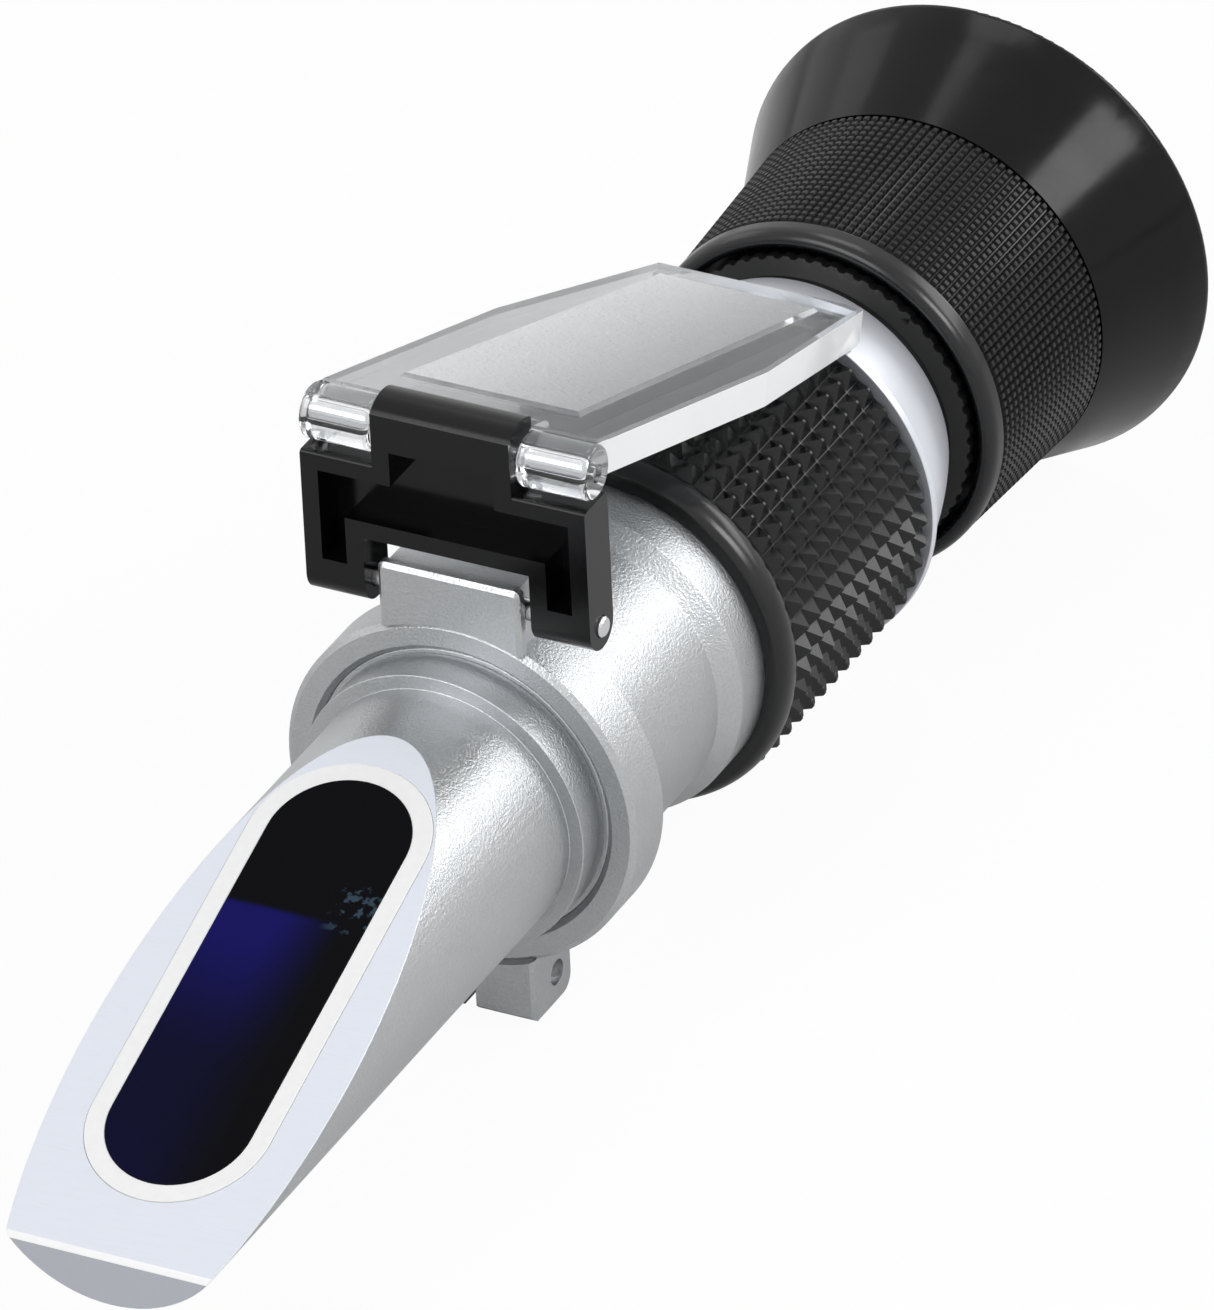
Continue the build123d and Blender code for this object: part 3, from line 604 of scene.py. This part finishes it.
# %% Sweep a profile round the axis
def swept(name, profile, segments=144):
    """A closed ring from a closed profile of (radius, y) points in metres."""
    work = bmesh.new()
    rings = []
    for radius, y in profile:
        corners = []
        for number in range(segments):
            angle = 2 * pi * number / segments
            place = (radius * sin(angle), y, axis_height + radius * cos(angle))
            corners.append(work.verts.new(place))
        rings.append(corners)
    for first, second in zip(rings, rings[1:] + rings[:1]):
        for number in range(segments):
            after = (number + 1) % segments
            work.faces.new((first[number], first[after], second[after], second[number]))
    bmesh.ops.recalc_face_normals(work, faces=work.faces)
    for face in work.faces:
        face.smooth = True
    mesh = bpy.data.meshes.new(name)
    work.to_mesh(mesh)
    work.free()
    mesh.set_sharp_from_angle(angle=radians(40))
    return new_object(name, mesh)


def arc(middle, radius, start, end, steps):
    """Points of an arc in the profile's plane, with angles in degrees."""
    points = []
    for number in range(steps + 1):
        angle = radians(start + (end - start) * number / steps)
        points.append((middle[0] + radius[0] * cos(angle), middle[1] + radius[1] * sin(angle)))
    return points


# %% [markdown]
# Hundreds of studs that differ only in place are a job for Geometry Nodes.
# The tree makes one point for each stud, works out its row and its place in the row from its
# index, bends the grid round the axis, and puts a four-sided blunt cone on every point.
# The same tree makes the coarse studs of the grip and the fine knurl of the focusing ring.


# %% Stud tree
class Tree:
    """A Geometry Nodes tree with a few short helpers."""

    def __init__(self, name, inputs):
        self.group = bpy.data.node_groups.new(name, "GeometryNodeTree")
        face = self.group.interface
        face.new_socket("Geometry", in_out="INPUT", socket_type="NodeSocketGeometry")
        for label, kind in inputs:
            face.new_socket(label, in_out="INPUT", socket_type=kind)
        face.new_socket("Geometry", in_out="OUTPUT", socket_type="NodeSocketGeometry")
        self.start = self.group.nodes.new("NodeGroupInput")
        self.end = self.group.nodes.new("NodeGroupOutput")

    def add(self, kind, settings=None, values=None, output=0):
        node = self.group.nodes.new(kind)
        for key, value in (settings or {}).items():
            setattr(node, key, value)
        for key, value in (values or {}).items():
            if isinstance(value, bpy.types.NodeSocket):
                self.group.links.new(value, node.inputs[key])
            else:
                node.inputs[key].default_value = value
        return node.outputs[output]

    def maths(self, operation, first, second=0.0, third=0.0):
        values = {0: first, 1: second, 2: third}
        return self.add("ShaderNodeMath", {"operation": operation}, values)

    def given(self, label):
        return self.start.outputs[label]


stud_inputs = [
    ("Rows", "NodeSocketInt"),
    ("Around", "NodeSocketInt"),
    ("Start", "NodeSocketFloat"),
    ("Row Pitch", "NodeSocketFloat"),
    ("First Radius", "NodeSocketFloat"),
    ("Flare", "NodeSocketFloat"),
    ("Foot", "NodeSocketFloat"),
    ("Tip", "NodeSocketFloat"),
    ("Height", "NodeSocketFloat"),
    ("Axis Height", "NodeSocketFloat"),
    ("Material", "NodeSocketMaterial"),
]


def stud_tree():
    tree = Tree("studs_round_an_axis", stud_inputs)
    count = tree.maths("MULTIPLY", tree.given("Rows"), tree.given("Around"))
    points = tree.add("GeometryNodePoints", None, {"Count": count})
    index = tree.add("GeometryNodeInputIndex")
    row = tree.maths("FLOOR", tree.maths("DIVIDE", index, tree.given("Around")))
    column = tree.maths("MODULO", index, tree.given("Around"))
    full_turn = tree.maths("DIVIDE", 2 * pi, tree.given("Around"))
    angle = tree.maths("MULTIPLY", column, full_turn)
    middle = tree.maths("ADD", row, 0.5)
    along = tree.maths("MULTIPLY_ADD", middle, tree.given("Row Pitch"), tree.given("Start"))
    radius = tree.maths("MULTIPLY_ADD", middle, tree.given("Flare"), tree.given("First Radius"))
    across = tree.maths("MULTIPLY", radius, tree.maths("SINE", angle))
    lift = tree.maths("MULTIPLY", radius, tree.maths("COSINE", angle))
    height = tree.maths("ADD", lift, tree.given("Axis Height"))
    place = tree.add("ShaderNodeCombineXYZ", None, {0: across, 1: along, 2: height})
    points = tree.add("GeometryNodeSetPosition", None, {"Geometry": points, "Position": place})
    cone = tree.add(
        "GeometryNodeMeshCone",
        {"fill_type": "NGON"},
        {
            "Vertices": 4,
            "Radius Top": tree.given("Tip"),
            "Radius Bottom": tree.given("Foot"),
            "Depth": tree.given("Height"),
        },
    )
    square = tree.add(
        "GeometryNodeTransform", None, {"Geometry": cone, "Rotation": (0, 0, pi / 4)}
    )
    turn = tree.add("ShaderNodeCombineXYZ", None, {1: angle})
    studs = tree.add(
        "GeometryNodeInstanceOnPoints",
        None,
        {"Points": points, "Instance": square, "Rotation": turn},
    )
    studs = tree.add("GeometryNodeRealizeInstances", None, {"Geometry": studs})
    studs = tree.add(
        "GeometryNodeSetMaterial", None, {"Geometry": studs, "Material": tree.given("Material")}
    )
    join = tree.group.nodes.new("GeometryNodeJoinGeometry")
    tree.group.links.new(studs, join.inputs[0])
    tree.group.links.new(tree.given("Geometry"), join.inputs[0])
    tree.group.links.new(join.outputs[0], tree.end.inputs[0])
    return tree.group


stud_group = stud_tree()
top_clearance = 0.01 * mm


def add_studs(piece, sizes):
    """Runs the stud tree on a swept ring and keeps the result as a plain mesh."""
    modifier = piece.modifiers.new("studs", "NODES")
    modifier.node_group = stud_group
    for item in stud_group.interface.items_tree:
        if item.in_out == "INPUT" and item.name in sizes:
            modifier[item.identifier] = sizes[item.name]
    return as_plain_mesh(piece)


# %% [markdown]
# The grip is a rubber sleeve. It starts with a smooth rounded bead, and eleven rows of pointed
# pyramids follow, forty-eight to a row. The studs' points reach the solid's full radius.

# %% Rubber grip
grip_low, grip_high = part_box("grip_sleeve")
grip_top = outer_radius("grip_sleeve")
barrel_surface = outer_radius("barrel")
stud_height = 1.0 * mm
stud_sink = 0.12 * mm
grip_root = grip_top - stud_height
bead_length = 3.1 * mm
bead_top = barrel_surface + 1.68 * mm
bead_sink = 0.1 * mm
stud_tip = 0.16 * mm
stud_foot_share = 0.985
grip_rows = 11
grip_around = 48
grip_inner = barrel_surface + 0.02 * mm


def grip_profile():
    bead_middle = ((grip_inner + bead_top) / 2 - bead_sink, grip_low.y + bead_length / 2)
    half = (bead_top - bead_middle[0], bead_length / 2)
    points = [(grip_inner, grip_high.y), (grip_inner, grip_low.y)]
    points += arc(bead_middle, half, -80, 70, 14)
    points += [(grip_root, grip_low.y + bead_length), (grip_root, grip_high.y)]
    return points


def make_grip():
    sleeve = swept("grip_sleeve_shown", grip_profile())
    sleeve.data.materials.append(bead_rubber)
    stretch = grip_high.y - grip_low.y - bead_length
    pitch = stretch / grip_rows
    sizes = {
        "Rows": grip_rows,
        "Around": grip_around,
        "Start": grip_low.y + bead_length,
        "Row Pitch": pitch,
        "First Radius": grip_root - stud_sink,
        "Flare": 0.0,
        "Foot": pitch / 2 ** 0.5 * stud_foot_share,
        "Tip": stud_tip,
        "Height": stud_height + stud_sink - top_clearance,
        "Axis Height": axis_height,
        "Material": stud_rubber,
    }
    return show(add_studs(sleeve, sizes), "grip_sleeve")


make_grip()

# %% [markdown]
# The focusing ring has the same build with a much finer knurl: square bumps three quarters of a
# millimetre apart on a slight cone. A round lip faces the barrel.

# %% Focusing ring
ring_low, ring_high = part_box("focus_ring")
ring_rear = outer_radius("focus_ring")
tube_surface = outer_radius("eyepiece_tube")
ring_front = tube_surface + 3.25 * mm
ring_opening = outer_radius("serrated_ring") + 0.3 * mm
ring_bore = tube_surface + 0.06 * mm
ring_recess = 4.1 * mm
ring_lip = 2.4 * mm
lip_groove = 0.35 * mm
keeper_seat = 13.45 * mm
keeper_clearance = 0.02 * mm
knurl_depth = 0.28 * mm
knurl_sink = 0.05 * mm
knurl_rows = 21
knurl_around = 132
knurl_foot_share = 0.92
knurl_tip_share = 0.50


def ring_profile():
    """Closed profile: front lip, knurled cone, rear counterbore and bore."""
    keeper = outer_radius("cell_keeper") + keeper_clearance
    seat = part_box("ocular_cell")[0].y + keeper_seat
    lip_middle = ((ring_opening + ring_front) / 2, ring_low.y + ring_lip / 2)
    lip_half = ((ring_front - ring_opening) / 2, ring_lip / 2)
    points = arc(lip_middle, lip_half, -180, 0, 16)
    points += [
        (ring_front, ring_low.y + ring_lip * 0.82),
        (ring_front - lip_groove, ring_low.y + ring_lip * 0.95),
        (ring_front - knurl_depth, ring_low.y + ring_lip),
        (ring_rear - knurl_depth, ring_high.y),
        (keeper, ring_high.y),
        (keeper, seat),
        (ring_bore, seat),
        (ring_bore, ring_low.y + ring_recess),
        (ring_opening, ring_low.y + ring_recess),
    ]
    return points


def make_focus_ring():
    body = swept("focus_ring_shown", ring_profile())
    body.data.materials.append(bead_rubber)
    start = ring_low.y + ring_lip
    pitch = (ring_high.y - start) / knurl_rows
    sizes = {
        "Rows": knurl_rows,
        "Around": knurl_around,
        "Start": start,
        "Row Pitch": pitch,
        "First Radius": ring_front - knurl_depth - knurl_sink,
        "Flare": (ring_rear - ring_front) / knurl_rows,
        "Foot": pitch / 2 ** 0.5 * knurl_foot_share,
        "Tip": pitch / 2 ** 0.5 * knurl_tip_share,
        "Height": knurl_depth + knurl_sink - top_clearance,
        "Axis Height": axis_height,
        "Material": knurl_rubber,
    }
    return show(add_studs(body, sizes), "focus_ring")


make_focus_ring()

# %% [markdown]
# The remaining visible pieces round the eyepiece are plain turned shapes.

# %% Eyepiece pieces
rounded("eyecup", [cup_black], 0.10)
rounded("serrated_ring", [satin_black], 0.04)
rounded("eyepiece_tube", [satin_black], 0.06)
rounded("ocular_cell", [satin_black], 0.05)
rounded("eye_lens", [lens_glass], 0.06)
rounded("field_lens", [lens_glass], 0.06)
rounded("calibration_cap", [satin_black], 0.08)
rounded("calibration_screw", [steel], 0.05)
rounded("calibration_bush", [turned_silver], 0.05)

# %% [markdown]
# Pieces inside the tube keep the solid's own mesh and only get a finish, because they are seen
# at most through a lens or when a cover moves away.

# %% Inner pieces
inner_finishes = {
    "prism_mask": inside_black,
    "prism_retainer": inside_black,
    "housing_seal": satin_black,
    "reticle_ring": inside_black,
    "reticle": lens_glass,
    "reticle_retainer": inside_black,
    "baffle_ring": inside_black,
    "guide_ring": inside_black,
    "adjuster_block": brass,
    "bimetal_strip": strip_steel,
    "strip_rivets": steel,
    "objective_cell": inside_black,
    "objective_lens": lens_glass,
    "objective_retainer": inside_black,
    "lens_spacer": inside_black,
    "eye_lens_retainer": inside_black,
    "key_screw": steel,
    "cell_keeper": inside_black,
}
for node_name, material in inner_finishes.items():
    solid = frame["nodes"][node_name]
    solid.data.materials.clear()
    solid.data.materials.append(material)

# %% [markdown]
# The set is a white sweep. The floor is a real surface that takes a soft shadow, mixed with
# plain white for the camera. The world is plain white wherever the camera, a mirror-like piece or
# a clear piece looks at it. As a light it is only a dim dome that gets darker overhead, and the
# black pieces reflect weakly, so that the white round them doesn't turn them grey.

# %% Floor and world
floor_size = 6.0
floor_white_share = 0.95
dome_falloff = 0.6
horizon_light = 0.8
overhead_light = 0.07


def make_floor():
    work = bmesh.new()
    bmesh.ops.create_grid(work, x_segments=1, y_segments=1, size=floor_size / 2)
    mesh = bpy.data.meshes.new("floor")
    work.to_mesh(mesh)
    work.free()
    floor = new_object("floor", mesh)
    finish = Finish("floor_white", Roughness=0.9, Specular_IOR_Level=0.0, Base_Color=grey(0.90))
    path = finish.add("ShaderNodeLightPath")
    plain = finish.add("ShaderNodeEmission", None, {"Color": grey(1.0), "Strength": 1.0})
    mixed = finish.add(
        "ShaderNodeMixShader",
        None,
        {0: path * floor_white_share, 1: Wire(finish, finish.shader.outputs[0]), 2: plain},
    )
    output = finish.tree.nodes["Material Output"]
    finish.join(output.inputs["Surface"], mixed)
    mesh.materials.append(finish.material)
    return floor


class Sky(Finish):
    """The world's node tree, with the same short helpers as a material."""

    def __init__(self, name):
        world = bpy.data.worlds.new(name)
        world.use_nodes = True
        bpy.context.scene.world = world
        self.material = world
        self.tree = world.node_tree
        self.shader = self.tree.nodes["Background"]


def make_world():
    sky = Sky("white_sweep")
    direction = sky.add("ShaderNodeTexCoord", output="Generated")
    height = sky.split(direction)[2]
    lift = height.maths("MAXIMUM", 0.0) ** dome_falloff
    dome = lift * (overhead_light - horizon_light) + horizon_light
    path = sky.tree.nodes.new("ShaderNodeLightPath")
    camera_ray = Wire(sky, path.outputs["Is Camera Ray"])
    clear_ray = Wire(sky, path.outputs["Is Transmission Ray"])
    mirror_ray = Wire(sky, path.outputs["Is Glossy Ray"])
    white = camera_ray.maths("MAXIMUM", clear_ray).maths("MAXIMUM", mirror_ray)
    sky.use(Color=grey(1.0), Strength=white + (1 - white) * dome)


make_floor()
make_world()

# %% [markdown]
# Each soft box is an area lamp that is aimed at the middle of the instrument.
# Where a box must stand follows from the mirror rule: the direction from which a surface is lit
# bright is the direction of view turned over at the surface's normal. The long highlight on the
# right shoulder of the nose and the barrel needs a box behind and to the right, and the bright
# patch on the eyecup needs one at the right. The front box lights the flat faces.

# %% Soft boxes
stage_middle = Vector((0, 0.01, axis_height))


def soft_box(name, azimuth, elevation, distance, size, radiance):
    """Area lamp; azimuth 0 is in front of the prism nose and grows to the right."""
    lamp = bpy.data.lights.new(name, "AREA")
    lamp.shape = "RECTANGLE"
    lamp.size, lamp.size_y = size
    lamp.energy = radiance * pi * size[0] * size[1]
    holder = bpy.data.objects.new(name, lamp)
    towards = line_of_sight(radians(azimuth), radians(elevation))
    aim = towards.to_track_quat("-Z", "Y").to_matrix().to_4x4()
    holder.matrix_world = Matrix.Translation(stage_middle - towards * distance) @ aim
    bpy.context.scene.collection.objects.link(holder)


soft_box("shoulder_box", 145, 26, 0.9, (0.55, 0.28), 3.0)
soft_box("right_box", 97, 40, 0.9, (0.34, 0.34), 8.0)
soft_box("front_box", -15, 48, 0.9, (0.60, 0.50), 3.5)
soft_box("top_box", 200, 62, 0.9, (0.35, 0.35), 2.2)
soft_box("left_box", -100, 30, 1.0, (0.60, 0.30), 0.9)

# %% Update the scene
bpy.context.view_layer.update()
